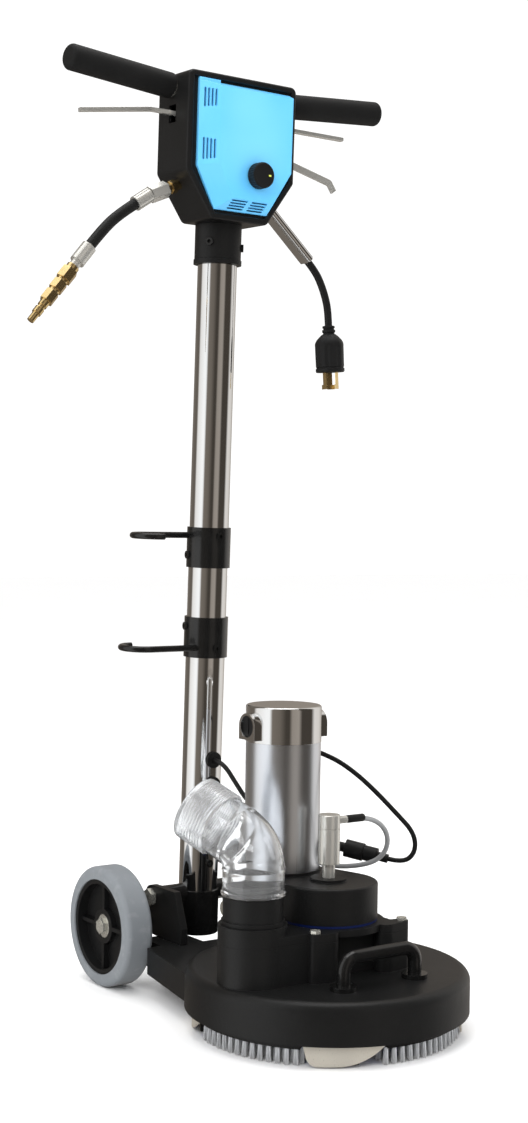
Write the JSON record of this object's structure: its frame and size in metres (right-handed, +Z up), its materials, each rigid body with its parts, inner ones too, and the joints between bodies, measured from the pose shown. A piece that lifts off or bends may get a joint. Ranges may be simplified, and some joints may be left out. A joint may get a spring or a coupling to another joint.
{
  "type": "rotary floor scrubber",
  "caption": "Upright rotary floor scrubber with a round brush head, belt-driven motor, wheels, vacuum elbow, water feed and a tilting T-handle.",
  "frame": {"origin": "on the floor under the middle of the machine, midway between the front of the brush shroud and the back of the wheels", "axes": "+Z up, -Y towards the front where the brush head is, +X to the machine's right seen from the front"},
  "size_m": [0.5187, 0.5439, 1.1636],
  "materials": {
    "cast_black": "satin black powder coat",
    "gloss_black": "gloss",
    "matte_black": "matte",
    "black_steel": "gloss",
    "black_rubber": "matte",
    "grey_hose": "satin",
    "clear_plastic": "gloss",
    "frosted_plastic": "satin",
    "blue_cover": "gloss",
    "blue_disc": "satin",
    "bristle_grey": "matte",
    "motor_aluminium": "brushed",
    "pulley_aluminium": "satin",
    "zinc_steel": "satin",
    "stainless": "brushed",
    "chrome_steel": "polished",
    "bronze": "satin",
    "brass": "satin",
    "grey_tyre": "matte",
    "rim_black": "satin"
  },
  "bodies": {
    "chassis": {"deck_housing": "cast_black", "plenum_cover": "cast_black", "port_collar": "matte_black", "drive_gasket": "blue_disc", "drive_cover": "cast_black", "drive_belt": "black_rubber", "motor_shell": "motor_aluminium", "motor_end_bell": "chrome_steel", "brush_caps": "matte_black", "bearings": "zinc_steel", "swivel_body": "stainless", "pivot_cheeks": "cast_black", "chassis_shafts": "zinc_steel", "chassis_fasteners": "zinc_steel", "front_handle": "gloss_black", "motor_lead": "black_rubber", "lead_connector": "matte_black", "handle_lead": "black_rubber", "solution_hose": "grey_hose"},
    "handle": {"pole_tube": "chrome_steel", "pivot_socket": "cast_black", "neck_collar": "matte_black", "hose_hook_upper": "black_steel", "hose_hook_lower": "black_steel", "rear_shell": "matte_black", "front_cover": "blue_cover", "grip_left": "black_rubber", "grip_right": "black_rubber", "handlebar": "zinc_steel", "cord_clamp": "chrome_steel", "inlet_fitting": "brass", "hose_nut": "stainless", "hose_ferrule": "stainless", "hose_coupler": "brass", "inlet_hose": "black_rubber", "mains_cord": "black_rubber", "plug_body": "black_rubber", "plug_blades": "brass", "handle_screws": "black_steel", "lead_grommets": "black_rubber"},
    "brush": {"brush_disc": "blue_disc", "brush_blocks": "matte_black", "bristle_tufts": "bristle_grey", "vacuum_shoes": "matte_black", "glide_plates": "bronze", "brush_spindle": "stainless", "driven_pulley": "pulley_aluminium", "swivel_stem": "stainless"},
    "rotor": {"motor_armature": "stainless", "drive_pulley": "pulley_aluminium"},
    "elbow": {"elbow_pipe": "clear_plastic", "hose_cuff": "frosted_plastic"},
    "wheel_left": {"tyre_left": "grey_tyre", "rim_left": "rim_black"},
    "wheel_right": {"tyre_right": "grey_tyre", "rim_right": "rim_black"},
    "lever_l": {"lever_left": "chrome_steel"},
    "lever_r": {"lever_right": "chrome_steel"},
    "trigger": {"trigger_water": "chrome_steel"},
    "knob": {"speed_knob": "gloss_black"}
  },
  "joints": [
    {"name": "handle_tilt", "type": "hinge", "parent": "chassis", "child": "handle", "pos_m": [0, 0.1757, 0.11], "axis": [-1, 0, 0], "range_deg": [0, 50], "deforming": ["handle_lead", "solution_hose"]},
    {"name": "wheel_left_spin", "type": "hinge", "parent": "chassis", "child": "wheel_left", "pos_m": [-0.12, 0.1958, 0.0762], "axis": [1, 0, 0], "continuous": true},
    {"name": "wheel_right_spin", "type": "hinge", "parent": "chassis", "child": "wheel_right", "pos_m": [0.12, 0.1958, 0.0762], "axis": [1, 0, 0], "continuous": true},
    {"name": "brush_spin", "type": "hinge", "parent": "chassis", "child": "brush", "pos_m": [0, -0.104, 0.1], "axis": [0, 0, 1], "continuous": true},
    {"name": "rotor_spin", "type": "hinge", "parent": "chassis", "child": "rotor", "pos_m": [-0.011, -0.025, 0.25], "axis": [0, 0, 1], "continuous": true},
    {"name": "elbow_swivel", "type": "hinge", "parent": "chassis", "child": "elbow", "pos_m": [-0.118, -0.118, 0.2], "axis": [0, 0, 1], "range_deg": [-40, 140]},
    {"name": "lever_left_squeeze", "type": "hinge", "parent": "handle", "child": "lever_l", "pos_m": [-0.06, 0.13241, 1.10412], "axis": [0, 0.9995, 0.0325], "range_deg": [0, 8], "stiffness_Nm_per_rad": 0.5, "springref_deg": -28.65},
    {"name": "lever_right_squeeze", "type": "hinge", "parent": "handle", "child": "lever_r", "pos_m": [0.06, 0.13241, 1.10412], "axis": [0, -0.9995, -0.0325], "range_deg": [0, 5], "stiffness_Nm_per_rad": 0.5, "springref_deg": -28.65},
    {"name": "trigger_squeeze", "type": "hinge", "parent": "handle", "child": "trigger", "pos_m": [0.06, 0.13055, 1.06904], "axis": [0, -0.9995, -0.0325], "range_deg": [0, 8], "stiffness_Nm_per_rad": 0.5, "springref_deg": -28.65},
    {"name": "speed_turn", "type": "hinge", "parent": "handle", "child": "knob", "pos_m": [0.015, 0.07578, 1.03024], "axis": [0, -0.9995, -0.0325], "range_deg": [-45, 225]}
  ],
  "couplings": [
    {"joint": "rotor_spin", "follows": "brush_spin", "ratio": 3.2857}
  ]
}
